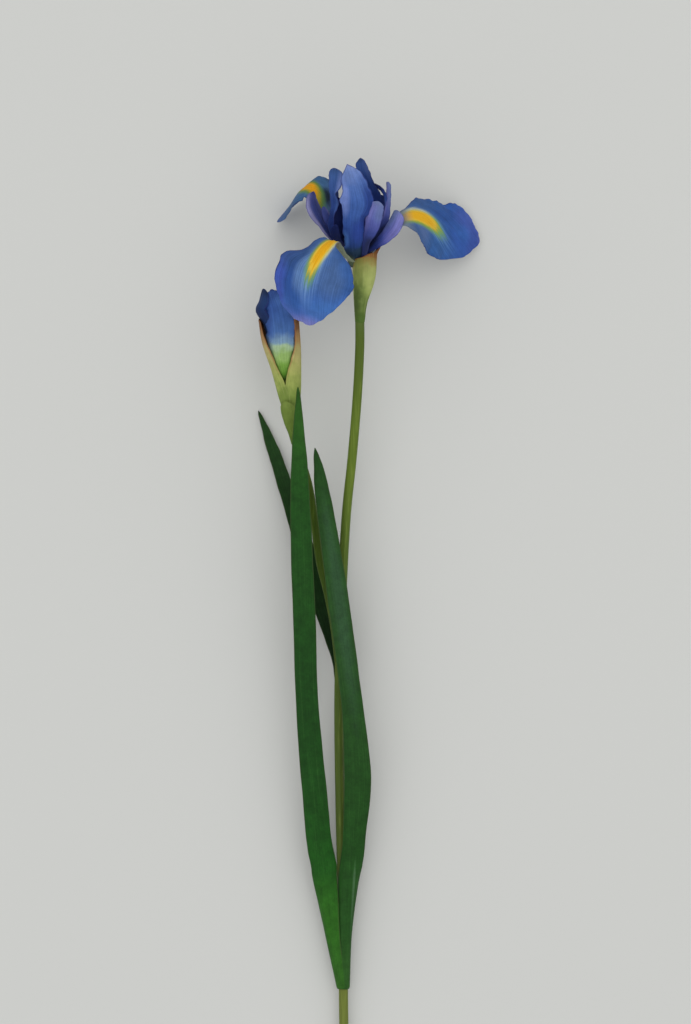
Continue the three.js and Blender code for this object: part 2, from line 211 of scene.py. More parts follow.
# How far the surface stands from its smooth form: ruffled edges, the midrib and fine veins.
def surfaceRelief(form, u, v):
    fadeIn, tipFade, veinPitch, veinSway = 0.15, 0.4, 0.7 * math.pi, 0.7
    relief = np.zeros_like(u)
    ruffle, rib, veins = form.get("ruffle"), form.get("rib"), form.get("veins")
    if ruffle:
        wave = waves(2 * math.pi * ruffle["waves"] * v, form.get("phase", 0) + 1.4 * np.sign(u))
        begun = np.clip((v - ruffle["start"]) / fadeIn, 0, 1)
        relief += ruffle["height"] * wave * np.abs(u) ** ruffle["power"] * begun
    if rib:
        relief += rib["height"] * bell(u, 0, rib["width"]) * np.clip(1 - v, 0, 1) ** tipFade
    if veins:
        drifted = u + form.get("drift", 0) * v**2
        turn = veinPitch * veins["count"] * drifted + veinSway * np.sin(9 * v)
        relief += veins["height"] * waves(turn, 1) * (1 - u**8)
    return relief


# A closed blade: its two skins share their points along both edges and the end.
def bladeMesh(form):
    rows, columns = form["grid"]
    edge, thick = form["edge"], form["thick"]
    rimWidth = 3 * edge
    points, normals, u, v, aside, margin, foot = layBlade(form)
    points = points + normals * surfaceRelief(form, u, v)[:, None]
    toRim = np.sqrt(np.clip(np.minimum(margin, foot) / rimWidth, 0, 1))
    half = (0.5 * (edge + (thick - edge) * (1 - u**2)) * toRim)[:, None]
    total = len(points)
    above = np.arange(total).reshape(rows + 1, columns + 1)
    below = above + total
    below[:, 0], below[:, -1], below[-1] = above[:, 0], above[:, -1], above[-1]

    faces = []
    for skin, order in ((above, (0, 1, 2, 3)), (below, (0, 3, 2, 1))):
        corners = (skin[:-1, :-1], skin[:-1, 1:], skin[1:, 1:], skin[1:, :-1])
        faces += np.stack([corners[at] for at in order], -1).reshape(-1, 4).tolist()
    for c in range(columns):
        faces.append([int(i) for i in (above[0][c], below[0][c], below[0][c + 1], above[0][c + 1])])
    return {
        "places": np.vstack([points + normals * half, points - normals * half]),
        "faces": [list(dict.fromkeys(face)) for face in faces],
        "uvs": np.tile(np.stack([u * 0.5 + 0.5, v], 1), (2, 1)),
        "marks": {
            "aside": np.tile(aside, 2),
            "margin": np.tile(margin, 2),
            "faceSide": np.repeat([1.0, 0.0], total),
        },
    }


# The blades of a form as one mesh. Each of its lobes is a blade of its own, and takes from
# the form what it doesn't say itself.
def bladesOf(form):
    blades = [form] if "stations" in form else []
    blades += [{**form, **lobe} for lobe in form.get("lobes", ())]
    parts = [bladeMesh(blade) for blade in blades]
    shift, faces = 0, []
    for part in parts:
        faces += [[index + shift for index in face] for face in part["faces"]]
        shift += len(part["places"])
    marks = [part["marks"] for part in parts]
    return {
        "places": np.vstack([part["places"] for part in parts]),
        "faces": faces,
        "uvs": np.vstack([part["uvs"] for part in parts]),
        "marks": {name: np.concatenate([mark[name] for mark in marks]) for name in marks[0]},
    }


# Makes the piece, gives it its finish and shows it in place of its CAD node.
def addPiece(form, shape, material):
    name, node, slot = form["name"], form["node"], form["slot"]
    used = np.unique([index for face in shape["faces"] for index in face])
    renumber = np.zeros(len(shape["places"]), int)
    renumber[used] = np.arange(len(used))
    mesh = bpy.data.meshes.new(name)
    placed = np.array(origin) + shape["places"][used] * mm
    mesh.from_pydata(placed.tolist(), [], [[int(renumber[i]) for i in face] for face in shape["faces"]])
    layer = mesh.uv_layers.new(name="blade")
    corners = np.zeros(len(mesh.loops), int)
    mesh.loops.foreach_get("vertex_index", corners)
    layer.uv.foreach_set("vector", shape["uvs"][used][corners].astype(np.float32).ravel())
    for mark, values in shape["marks"].items():
        attribute = mesh.attributes.new(mark, "FLOAT", "POINT")
        attribute.data.foreach_set("value", values[used].astype(np.float32))
    skin = bmesh.new()
    skin.from_mesh(mesh)
    bmesh.ops.recalc_face_normals(skin, faces=skin.faces)
    skin.to_mesh(mesh)
    skin.free()
    mesh.polygons.foreach_set("use_smooth", [True] * len(mesh.polygons))
    mesh.materials.append(material)
    piece = bpy.data.objects.new(name, mesh)
    scene.collection.objects.link(piece)
    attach(piece, "root")
    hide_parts(node)


def addBlades(forms, skin, words):
    for form in forms:
        addPiece(form, bladesOf(form), skin(form))
    print(words)


# Finishes are built from a few small steps, each of which adds a node and returns its output.
def newNode(paint, kind):
    return paint.node_tree.nodes.new("ShaderNode" + kind)


def put(paint, value, socket):
    if isinstance(value, bpy.types.NodeSocket):
        paint.node_tree.links.new(value, socket)
    else:
        socket.default_value = value


def calc(paint, how, *values):
    node = newNode(paint, "Math")
    node.operation = how
    for socket, value in zip(node.inputs, values):
        put(paint, value, socket)
    return node.outputs[0]


def times(paint, a, b):
    return calc(paint, "MULTIPLY", a, b)


# Rises smoothly from 0 at start to 1 at full, which may lie below it.
def ease(paint, value, start, full):
    node = newNode(paint, "MapRange")
    node.interpolation_type = "SMOOTHSTEP"
    put(paint, value, node.inputs["Value"])
    node.inputs["From Min"].default_value = min(start, full)
    node.inputs["From Max"].default_value = max(start, full)
    node.inputs["To Min"].default_value = 0 if start < full else 1
    node.inputs["To Max"].default_value = 1 if start < full else 0
    return node.outputs["Result"]


def scaled(paint, value, low, high, least, most):
    node = newNode(paint, "MapRange")
    put(paint, value, node.inputs["Value"])
    for socket, number in (("From Min", low), ("From Max", high), ("To Min", least), ("To Max", most)):
        node.inputs[socket].default_value = number
    return node.outputs["Result"]


def over(paint, share, under, top, how="MIX"):
    node = newNode(paint, "Mix")
    node.data_type = "RGBA"
    node.blend_type = how
    put(paint, share, node.inputs[0])
    put(paint, tone(under) if isinstance(under, str) else under, node.inputs[6])
    put(paint, tone(top) if isinstance(top, str) else top, node.inputs[7])
    return node.outputs[2]


# Lays a second colour over the first as a pattern goes from start to full.
def tint(paint, colour, second, pattern, start, full, share=1):
    return over(paint, times(paint, ease(paint, pattern, start, full), share), colour, second)


def ramp(paint, value, stops):
    node = newNode(paint, "ValToRGB")
    node.color_ramp.interpolation = "EASE"
    bands = node.color_ramp.elements
    while len(bands) < len(stops):
        bands.new(0.5)
    for band, (at, colour) in zip(bands, stops):
        band.position = at
        band.color = tone(colour)
    put(paint, value, node.inputs[0])
    return node.outputs["Color"]


def mark(paint, name):
    node = newNode(paint, "Attribute")
    node.attribute_name = name
    return node.outputs["Fac"]


# Across the blade from -1 to 1, and along it from 0 to 1.
def bladePlace(paint):
    uv = newNode(paint, "UVMap")
    uv.uv_map = "blade"
    parts = newNode(paint, "SeparateXYZ")
    put(paint, uv.outputs[0], parts.inputs[0])
    return calc(paint, "MULTIPLY_ADD", parts.outputs["X"], 2, -1), parts.outputs["Y"]


def here(paint):
    return newNode(paint, "TexCoord").outputs["Object"]


def cloud(paint, scale, detail, place=None):
    node = newNode(paint, "TexNoise")
    node.inputs["Scale"].default_value = scale
    node.inputs["Detail"].default_value = detail
    put(paint, here(paint) if place is None else place, node.inputs["Vector"])
    return node.outputs[0]


def farness(paint, x, y):
    return calc(paint, "SQRT", calc(paint, "ADD", times(paint, x, x), times(paint, y, y)))


def offMiddle(paint, pattern):
    return calc(paint, "SUBTRACT", pattern, 0.5)


# Streaks that run along the blade: many across it and few along it.
def streaks(paint, across, along, count, stretch, seed, detail):
    place = newNode(paint, "CombineXYZ")
    put(paint, times(paint, across, count), place.inputs[0])
    put(paint, times(paint, along, stretch), place.inputs[1])
    place.inputs[2].default_value = seed
    return cloud(paint, 1, detail, place.outputs[0])


# Makes the colour darker and lighter with a pattern.
def shade(paint, colour, pattern, depth, low=0.3, high=0.7):
    return over(paint, 1, colour, scaled(paint, pattern, low, high, 1 - depth, 1 + depth), "MULTIPLY")


# Soft patches on a blade: real stains, and also painted shade and painted highlights. Each gives
# its place across and along, its half width and half length in the same shares, its colour and
# how strongly it covers.
def layStainsAndPaintedLight(paint, colour, across, along, unrest, stainsAndPaintedLight):
    for at, down, wide, long, patchColour, share in stainsAndPaintedLight:
        x = calc(paint, "DIVIDE", calc(paint, "SUBTRACT", across, at), wide)
        y = calc(paint, "DIVIDE", calc(paint, "SUBTRACT", along, down), long)
        ragged = calc(paint, "MULTIPLY_ADD", unrest, 0.9, farness(paint, x, y))
        colour = tint(paint, colour, patchColour, ragged, 1.75, 0.45, share)
    return colour


def finish(paint, colour, relief, strength):
    shader = paint.node_tree.nodes["Principled BSDF"]
    node = newNode(paint, "Bump")
    node.inputs["Strength"].default_value = strength
    node.inputs["Distance"].default_value = 0.2 * mm
    put(paint, relief, node.inputs["Height"])
    put(paint, node.outputs[0], shader.inputs["Normal"])
    put(paint, colour, shader.inputs["Base Color"])
    return paint


# where a signal's rings start and are full, in shares of its size; a halo's start is its fall's own
signalRings = {"halo": 0.9, "fringe": (1.6, 1), "heart": (1.2, 0.8)}
haloShare, haloStreakShare, tipwardFade = 0.45, 0.5, (-0.12, 0.15)
haloStreaks = {"haloPale": (-0.08, 0.18), "haloDark": (-0.03, -0.18)}


# The yellow signal of a fall: orange at its heart, green or cream at its sides, with a pale halo.
def addSignal(paint, colour, along, fine, signal):
    ahead = calc(paint, "SUBTRACT", along, signal["along"])
    bowed = calc(paint, "MULTIPLY_ADD", ahead, signal.get("bow", 0), signal["lean"])
    middle = calc(paint, "MULTIPLY_ADD", ahead, bowed, signal["aside"])
    off = calc(paint, "SUBTRACT", mark(paint, "aside"), middle)
    wide = calc(paint, "DIVIDE", off, signal["width"])
    toTip = calc(paint, "DIVIDE", ahead, signal["toTip"])
    long = calc(paint, "MAXIMUM", toTip, calc(paint, "DIVIDE", ahead, -signal["toBase"]))
    smooth = farness(paint, wide, long)
    ragged = calc(paint, "MULTIPLY_ADD", fine, signal["ragged"], smooth)

    tipward = scaled(paint, ease(paint, ahead, *tipwardFade), 0, 1, 0.3, 1)
    halo = times(paint, ease(paint, smooth, signal["haloReach"], signalRings["halo"]), tipward)
    colour = over(paint, times(paint, halo, haloShare), colour, signal["haloDeep"])
    for second, reach in haloStreaks.items():
        streak = times(paint, halo, ease(paint, fine, *reach))
        colour = over(paint, times(paint, streak, haloStreakShare), colour, signal[second])

    fringe = tint(paint, signal["leftFringe"], signal["rightFringe"], off, -1, 2)
    fringe = tint(paint, fringe, signal["tail"], ahead, 0, signal["toTip"] * 0.9)
    colour = tint(paint, colour, fringe, ragged, *signalRings["fringe"])
    edge = signal.get("heartEdge", 0.5)
    heart = ramp(paint, ragged, [
        (0, signal["heart"]), (edge, signal["heart"]), (edge + 0.3, signal["yellow"]), (1, signal["rim"]),
    ])
    heart = tint(paint, heart, signal["vein"], fine, -0.02, -0.2, 0.55)
    heart = tint(paint, heart, signal["yellow"], fine, 0.04, 0.2, 0.4)
    return tint(paint, colour, heart, ragged, *signalRings["heart"])


petalFinish = {
    "gloss": {"Roughness": 0.62, "Specular IOR Level": 0.1, "Sheen Weight": 0.02},
    "edgeLine": "2a2a66",
    "edgeWidth": 0.7,  # mm
    "streakStretch": 2.4,
    "blotches": 210,  # these three are per metre
    "unrest": 95,
    "grain": 1500,
}


# The skin of a petal, with its colours from base to tip, its stains and patches of painted shade
# and painted highlight, streaks and dark edge.
# They lie on its face, or on its back where that looks out, and the other side is plainer.
def petalSilk(petal):
    paint = newFinish(petal["name"] + "Silk", petalFinish["gloss"])
    across, along = bladePlace(paint)
    seed = petal["seed"]
    unrest = offMiddle(paint, cloud(paint, petalFinish["unrest"] + seed, 2))
    grain = cloud(paint, petalFinish["grain"], 2)
    drifted = calc(paint, "MULTIPLY_ADD", times(paint, along, along), petal.get("drift", 0), across)
    fine = streaks(paint, drifted, along, petal["streaks"], petalFinish["streakStretch"], seed, 4)
    colour = ramp(paint, calc(paint, "MULTIPLY_ADD", unrest, 0.12, along), petal["colours"])
    colour = layStainsAndPaintedLight(paint, colour, across, along, unrest, petal.get("stainsAndPaintedLight", ()))
    colour = shade(paint, colour, fine, petal["depth"], 0.36, 0.64)
    colour = shade(paint, colour, cloud(paint, petalFinish["blotches"], 3), 0.1)
    if "signal" in petal:
        colour = addSignal(paint, colour, along, offMiddle(paint, fine), petal["signal"])
    colour = shade(paint, colour, grain, 0.05)
    toEdge = calc(paint, "MULTIPLY_ADD", unrest, 1.2, mark(paint, "margin"))
    edgeShare = petal.get("edgeShare", 0.7)
    colour = tint(paint, colour, petalFinish["edgeLine"], toEdge, petalFinish["edgeWidth"], 0.05, edgeShare)
    other = over(paint, petal.get("otherShare", 0.6), colour, petal["otherSide"])
    behind, onFace = (colour, other) if petal.get("backOut") else (other, colour)
    colour = over(paint, mark(paint, "faceSide"), behind, onFace)
    if "haft" in petal:
        haft = petal["haft"]
        colour = tint(paint, colour, haft["colour"], along, haft["end"], haft["start"])
    return finish(paint, colour, calc(paint, "MULTIPLY_ADD", grain, 0.4, fine), 0.4)


# the three falls
fallStock = {
    "slot": "petal", "grid": (120, 72), "thick": 0.8, "edge": 0.25, "crowd": 1.5,
    "rib": {"height": 0.4, "width": 0.08},
    "veins": {"height": 0.018, "count": 34},
}
frontFall = {
    **fallStock, "name": "frontFall", "node": "fall_front", "side": (0.9, -0.2, 0.4),
    "stations": [
        (4.2, 471.2, 34, 3.4, 1.9, 40), (-0.4, 474.6, 44, 4.4, 2.3, 40),
        (-3.5, 477.9, 54, 5, 2.7, 40), (-6, 480.2, 62, 7, 4, 25),
        (-9.8, 477.5, 68.5, 8.6, 6.2, 5), (-13.9, 472.2, 72.5, 10.4, 21, -8),
        (-17.7, 465.6, 73.5, 20.4, 26.5, -14), (-20.2, 458.4, 71.5, 21.2, 26, -20),
        (-21.3, 451, 68, 21.4, 25, -22), (-21.4, 444.6, 64, 20, 23.6, -22),
        (-21.1, 439.6, 59.5, 18.5, 22, -20), (-20.9, 435, 54.5, 17, 21, -18),
    ],
    "end": ((0.38, 2.4), (0.41, 1.5)), "endWave": 0.008, "nibble": 0.22, "phase": 0.4,
    "ruffle": {"height": 0.7, "waves": 5, "start": 0.35, "power": 4},
    "seed": 1, "streaks": 38, "depth": 0.14,
    "colours": [
        (0, "3a5078"), (0.35, "335489"), (0.55, "325897"), (0.8, "385ea2"), (0.93, "4561a8"), (1, "656eae"),
    ],
    # the third patch, dark blue at the top-left margin, is painted shade of the ruffled fold there
    "stainsAndPaintedLight": [
        (-0.5, 0.66, 0.28, 0.16, "264788", 0.75), (-0.95, 0.7, 0.22, 0.2, "3f4ba4", 0.6),
        (-0.8, 0.5, 0.5, 0.09, "2e466e", 0.7), (-0.25, 0.6, 0.14, 0.1, "6788b4", 0.6),
        (0.5, 0.58, 0.26, 0.14, "45618f", 0.8), (0.5, 0.86, 0.4, 0.1, "4070b2", 0.5),
        (-0.3, 0.83, 0.12, 0.1, "2a5498", 0.5), (0.1, 1, 0.5, 0.07, "7478ba", 0.7),
    ],
    "signal": {
        "along": 0.42, "aside": 0.4, "lean": 0, "width": 3.5, "toTip": 0.19, "toBase": 0.25, "ragged": 1,
        "heart": "d99f12", "vein": "a8820e", "yellow": "dab43a", "rim": "b0a43c", "leftFringe": "73893f",
        "rightFringe": "c8c68a", "tail": "64905c", "haloPale": "94b2d0", "haloDeep": "5b82b6",
        "haloDark": "2c4f92", "haloReach": 2.5,
    },
    "haft": {"start": 0.14, "end": 0.3, "colour": "7f8872"},
    "otherSide": "34507f",
}
rightFall = {
    **fallStock, "name": "rightFall", "node": "fall_right", "side": (0, 0.8, -0.6),
    "stations": [
        (13, 474, 31, 2, 2, 40, 0), (22, 484.5, 37, 3.5, 3.6, 35, 0),
        (30.5, 494.2, 41, 8, 4.8, 20, 0), (36.5, 497.3, 42, 14.6, 6, 0, 0),
        (42.5, 497.3, 40, 19.4, 13.4, -20, 0), (48.5, 495.5, 36, 20.4, 14.6, -32, 4),
        (54.5, 492.5, 30, 20, 17, -34, 10), (60.5, 489.5, 23, 18.6, 18.6, -34, 16),
        (66.5, 487.2, 15.5, 17.8, 20.4, -30, 20), (72, 486, 8.5, 17, 19.2, -25, 22),
        (76.8, 486, 4, 15.4, 17.5, -20, 22),
    ],
    "end": ((0.36, 1.3), (0.24, 2)), "drift": 1.6, "endWave": 0.008, "nibble": 0.25, "phase": 1.7,
    "ruffle": {"height": 0.7, "waves": 5, "start": 0.35, "power": 4},
    "seed": 7, "streaks": 34, "depth": 0.14,
    "colours": [
        (0, "5a6a70"), (0.35, "375484"), (0.6, "29508f"), (0.8, "2d5098"), (0.93, "3d56a0"), (1, "535fa6"),
    ],
    "stainsAndPaintedLight": [
        (0.7, 0.45, 0.4, 0.1, "2f5084", 0.7), (0.35, 0.62, 0.2, 0.1, "244888", 0.7),
        (-0.7, 0.62, 0.3, 0.14, "386299", 0.5), (0.5, 0.88, 0.3, 0.12, "4556a2", 0.5),
        (-0.4, 0.42, 0.4, 0.06, "50648e", 0.6), (0.1, 0.8, 0.2, 0.08, "2f5ea2", 0.4),
        (-0.2, 0.93, 0.5, 0.06, "2a3f84", 0.5),
    ],
    "signal": {
        "along": 0.41, "aside": -2.2, "lean": -9, "bow": -40, "width": 4.4, "toTip": 0.165, "toBase": 0.3,
        "ragged": 0.95, "heart": "d2a01e", "vein": "a07c14", "yellow": "cfaa34", "rim": "a0a03a",
        "leftFringe": "74913e", "rightFringe": "aeb4a0", "tail": "6a9650", "haloPale": "7aa0c4",
        "haloDeep": "3c6aa6", "haloDark": "284684", "haloReach": 2.2,
    },
    "haft": {"start": 0.18, "end": 0.34, "colour": "6f7a86"},
    "otherSide": "2f4a80",
}
backFall = {
    **fallStock, "name": "backFall", "node": "fall_back", "side": (-0.2, -0.45, 0.87),
    "stations": [
        (6, 475.5, 24, 2.2, 2.2, 40, 0), (0.5, 486, 25, 4, 4, 35, -10),
        (-7.4, 498.5, 27.5, 5.6, 7, 15, -30), (-12.5, 509.8, 28, 11.2, 9, 0, -35),
        (-18.5, 514.6, 26.5, 11.4, 11.5, -12, -12), (-25, 511.5, 21, 13, 13.4, -20, 4),
        (-31, 504, 12, 13, 14.4, -20, 6), (-37.5, 497.5, 2.5, 9, 9, -15, 6),
    ],
    "end": ((0.24, 2), (0.24, 2)), "nibble": 0.1, "phase": 2.9,
    "ruffle": {"height": 0.3, "waves": 5, "start": 0.3, "power": 4},
    "seed": 13, "streaks": 22, "depth": 0.17,
    "colours": [(0, "3a4c60"), (0.3, "48658c"), (0.55, "34587f"), (0.8, "34567f"), (1, "3d5590")],
    # the two near-black patches where the haft bends over are painted shade between this fall and the left
    # standard
    "stainsAndPaintedLight": [
        (0.6, 0.5, 0.4, 0.06, "42649a", 0.5), (-0.1, 0.4, 0.3, 0.06, "0c1828", 0.97),
        (-1, 0.36, 0.35, 0.12, "14244e", 0.95),
    ],
    "signal": {
        "along": 0.625, "aside": 0.2, "lean": -20, "width": 4.6, "toTip": 0.085, "toBase": 0.3,
        "ragged": 0.7, "heart": "d2920c", "heartEdge": 0.45, "vein": "8a6a14", "yellow": "9c8c2a",
        "rim": "68762e", "leftFringe": "4f7240", "rightFringe": "567848", "tail": "5f8050",
        "haloPale": "5f86a0", "haloDeep": "446a80", "haloDark": "34506c", "haloReach": 2,
    },
    "otherSide": "34507f",
}
addBlades((frontFall, rightFall, backFall), petalSilk, "falls made")

# the three upright standards
standardStock = {
    "slot": "petal", "grid": (100, 56), "thick": 0.7, "edge": 0.22, "crowd": 1.3,
    "rib": {"height": 0.3, "width": 0.1},
    "veins": {"height": 0.03, "count": 22},
}
frontStandard = {
    **standardStock, "name": "frontStandard", "node": "standard_front", "side": (1, 0, 0),
    "stations": [
        (6.9, 468.5, 31, 4, 3, 50), (6.2, 473, 33, 5.6, 3.8, 45),
        (5.4, 477.5, 36.5, 5.9, 5, 40), (5, 482.2, 40.8, 5.8, 6.2, 35),
        (4.8, 488.1, 45, 5.9, 6.8, 35), (5.3, 494.8, 50, 6.8, 7.1, 35),
        (6.4, 501.7, 54, 9.4, 10.6, 35), (5.3, 508.5, 57.5, 7.2, 8.8, 35),
        (3.9, 514.8, 60, 6, 7, 30), (1.4, 522.9, 61.5, 3.5, 5, 20),
    ],
    "end": ((0.07, 1.1), (0.08, 1.2)), "nibble": 0.2, "phase": 0.9,
    "ruffle": {"height": 0.5, "waves": 4, "start": 0.2, "power": 3},
    "seed": 21, "streaks": 14, "depth": 0.13, "backOut": True,
    # the dark start of these colours is painted shade deep inside the flower
    "colours": [
        (0, "1c2c38"), (0.2, "22384f"), (0.28, "253f7c"), (0.45, "2f4c92"), (0.65, "3a5a9c"),
        (0.8, "4967a6"), (0.93, "6077ae"), (1, "7e8cbc"),
    ],
    # the first patch, darker on the right, is painted shade; the second, lavender at the upper left, is a
    # painted highlight
    "stainsAndPaintedLight": [
        (0.8, 0.6, 0.3, 0.2, "22387a", 0.85), (-0.75, 0.72, 0.3, 0.14, "7084c2", 0.8),
        (-0.8, 0.34, 0.3, 0.07, "4a74bc", 0.8), (0.4, 0.42, 0.4, 0.09, "2a4292", 0.6),
        (-0.6, 0.08, 0.5, 0.07, "5a6646", 0.7),
    ],
    "otherSide": "2c4488",
}
leftStandard = {
    **standardStock, "name": "leftStandard", "node": "standard_left", "side": (0.8, -0.1, 0.5),
    "stations": [
        (6.5, 476, 31.5, 1.8, 1.8, 30), (-3.5, 482.5, 36, 2, 2, 30),
        (-7.8, 489.5, 40, 2.2, 2.2, 30), (-6.9, 497, 44, 2, 1.8, 30),
        (-5.6, 503.6, 47.3, 2.8, 2.8, 20), (-6.2, 507.6, 49, 2.9, 1.4, 20),
        (-5.9, 511.5, 50.5, 3.8, 4, 20), (-5.4, 516.8, 53, 4.3, 4.8, 20),
        (-5.1, 521.4, 55, 3.8, 4.6, 10),
    ],
    "end": ((0.1, 2), (0.08, 2)), "nibble": 0.15, "phase": 2.2,
    "ruffle": {"height": 0.2, "waves": 5, "start": 0.2, "power": 3},
    "seed": 27, "streaks": 10, "depth": 0.14, "backOut": True,
    # the dark navy start of these colours is painted shade in the gap between the standards
    "colours": [
        (0, "0f1c4a"), (0.3, "182a62"), (0.5, "263f7c"), (0.75, "33508c"), (0.9, "36548c"), (1, "304a78"),
    ],
    # the first patch, a lavender strip along the right, is a painted highlight
    "stainsAndPaintedLight": [(0.9, 0.8, 0.4, 0.14, "6c80bc", 0.85), (0.8, 0.5, 0.3, 0.12, "43609c", 0.6)],
    "otherSide": "22386e",
}
backStandard = {
    **standardStock, "name": "backStandard", "node": "standard_back", "side": (-0.89, 0.23, -0.33),
    "stations": [
        (11, 477, 25.5, 1.8, 1.8, 30), (13.4, 485.2, 27, 3.2, 3.2, 35),
        (16, 495.1, 29, 5, 5, 35), (16.5, 503.8, 32, 7.8, 6, 35),
        (14.6, 510.2, 35.5, 7.4, 6, 35), (12, 516.4, 39.5, 5.8, 5.4, 30),
        (10.2, 522.8, 43, 3.6, 4, 20), (8.8, 528.2, 45, 2.6, 2.6, 10),
    ],
    "end": ((0.07, 1.4), (0.07, 1.4)), "nibble": 0.2, "phase": 4.1,
    "lobes": [{  # the curl of margin beside the gap
        "side": (0.3, 1, 0),
        "stations": [
            (16, 514, 37, 1.2, 1.2, 0), (18.8, 512.8, 37.5, 1.1, 1.1, 0),
            (21, 511, 38, 1, 1, 0), (22.6, 508.2, 38, 1, 1, 0),
            (23.2, 504.8, 37, 1.1, 1.1, 0), (22.8, 501, 36, 1.2, 1.2, 0),
        ],
        "end": ((0, 2), (0, 2)), "rib": None, "ruffle": None, "nibble": 0.05,
    }, {  # the fold behind the style arm, dark with the painted shade at the start of the colours
        "side": (1, 0, 0),
        "stations": [
            (11, 468, 27, 5, 6, 0), (11.5, 476, 27, 6.5, 5.6, 0),
            (14.5, 484, 29, 7, 6.2, 0), (18.5, 492, 31, 6.5, 6, 0),
            (20.8, 500.5, 32.5, 5, 3.8, 0), (20.6, 508.8, 33.5, 4, 2.4, 0),
        ],
        "end": ((0.1, 2), (0.1, 2)), "rib": None, "ruffle": None,
    }],
    "ruffle": {"height": 0.25, "waves": 4, "start": 0.2, "power": 3},
    "seed": 33, "streaks": 12, "depth": 0.15,
    # the near-black start of these colours is painted shade over the standard's lower part and its fold
    "colours": [
        (0, "0a1230"), (0.28, "101e4e"), (0.5, "1e3270"), (0.75, "2c4686"), (0.92, "3a5490"), (1, "2c4068"),
    ],
    "stainsAndPaintedLight": [(-0.7, 0.86, 0.4, 0.1, "4a5f98", 0.7)],
    "otherSide": "1c2c62",
}
addBlades((frontStandard, leftStandard, backStandard), petalSilk, "standards made")

# the style arms, each with its lobes
lobeStock = {
    "slot": "style_arm", "grid": (60, 32), "thick": 0.8, "edge": 0.25, "crowd": 1.2, "nibble": 0.08,
    "veins": {"height": 0.05, "count": 12},
}
rightStyle = {
    **lobeStock, "name": "rightStyle", "node": "style_arm_right",
    "lobes": [{
        "side": (-0.6, 0.6, -0.5),
        "stations": [
            (10.5, 476.5, 33, 1.6, 1, -20), (16.5, 481, 37.5, 3.2, 1.5, -30),
            (21.5, 484.8, 41.5, 4.5, 3.2, -40), (25.9, 490, 45, 5.8, 5, -45),
            (28.4, 494.6, 47, 5.4, 4.8, -45), (30, 498.5, 48, 4.4, 3.8, -35),
        ],
        "end": ((0.2, 1.8), (0.08, 2)), "phase": 0.5,
    }, {
        "side": (0.9, -0.2, 0.3),
        "stations": [
            (10.6, 472, 33, 1.5, 1.5, 20), (12.3, 481.5, 40.5, 2.9, 2, 25),
            (14.8, 488.4, 46, 4.5, 3.9, 30), (16.1, 494.6, 50, 5.4, 4.8, 35),
            (17.7, 499.4, 52, 4.8, 4.2, 30), (19.1, 503.1, 53.5, 3.6, 3.2, 15),
        ],
        "end": ((0.14, 1.6), (0.1, 1.8)), "phase": 1.5,
    }, {
        "side": (0.9, -0.2, 0.3),
        "stations": [
            (15.5, 481, 30.5, 2, 2, 20), (20.3, 489, 34.6, 2.4, 2.4, 20),
            (23.2, 496, 37.5, 2.2, 2, 20), (24.2, 503, 37.5, 1.6, 1.6, 20),
            (24.6, 509, 36, 1.4, 1.5, 15), (24.6, 516, 35, 1.3, 1.4, 10),
        ],
        "end": ((0, 1.5), (0.06, 1.3)), "phase": 2.5,
    }],
    "seed": 41, "streaks": 9, "depth": 0.12,
    # the dark start of these colours is painted shade at the arm's foot
    "colours": [
        (0, "10183e"), (0.2, "1c2a64"), (0.34, "303e82"), (0.48, "5058a0"), (0.65, "5f67aa"),
        (0.85, "686fa8"), (1, "6a769c"),
    ],
    # the second patch, pale lavender at the lower right, is a painted highlight; the third, near-black by
    # the base, is painted shade
    "stainsAndPaintedLight": [
        (0.6, 0.75, 0.5, 0.2, "5a7094", 0.5), (-0.7, 0.65, 0.4, 0.25, "7a78b8", 0.6),
        (0.7, 0.17, 0.7, 0.1, "0b1434", 0.95),
    ],
    "otherSide": "5c67a4", "otherShare": 0.15, "edgeShare": 0.35,
}
backStyle = {
    **lobeStock, "name": "backStyle", "node": "style_arm_back",
    "lobes": [{
        "side": (-0.7, -0.4, 0.6),
        "stations": [
            (8, 474.5, 29.5, 1.5, 1.5, -20), (-1.4, 480.4, 31, 3.2, 2.2, -25),
            (-7.5, 485.8, 33, 4.6, 2.4, -30), (-12, 492.3, 35, 5.8, 3.2, -35),
            (-16.1, 499.4, 37, 6.2, 4.9, -35), (-17.8, 505.4, 38, 4.6, 4.2, -30),
            (-17.2, 510.3, 38.5, 2, 2.4, -20),
        ],
        "end": ((0.08, 1.4), (0.08, 1.4)), "phase": 3.5,
    }, {
        "side": (1, 0, 0),
        "stations": [
            (-5.5, 488, 33, 2, 2, 20), (-8.4, 493.5, 37, 2.8, 2.6, 30),
            (-10.4, 498, 38.6, 2.2, 2, 20), (-12, 501.8, 38.8, 1, 1, 10),
        ],
        "end": ((0.1, 1.6), (0.1, 1.6)), "phase": 4.5,
    }],
    "seed": 45, "streaks": 9, "depth": 0.14,
    # the dark navy start of these colours is painted shade at the arm's foot
    "colours": [
        (0, "0a1238"), (0.25, "17225a"), (0.45, "273166"), (0.7, "39427a"), (0.88, "464a82"), (1, "30386a"),
    ],
    # the first patch, pale along the lower left edge, is a painted highlight
    "stainsAndPaintedLight": [
        (0.85, 0.6, 0.3, 0.3, "8a88b0", 0.7), (-0.2, 0.75, 0.35, 0.14, "263062", 0.6),
        (-0.8, 0.6, 0.3, 0.2, "44497e", 0.5),
    ],
    "otherSide": "34407c", "edgeShare": 0.3,
}
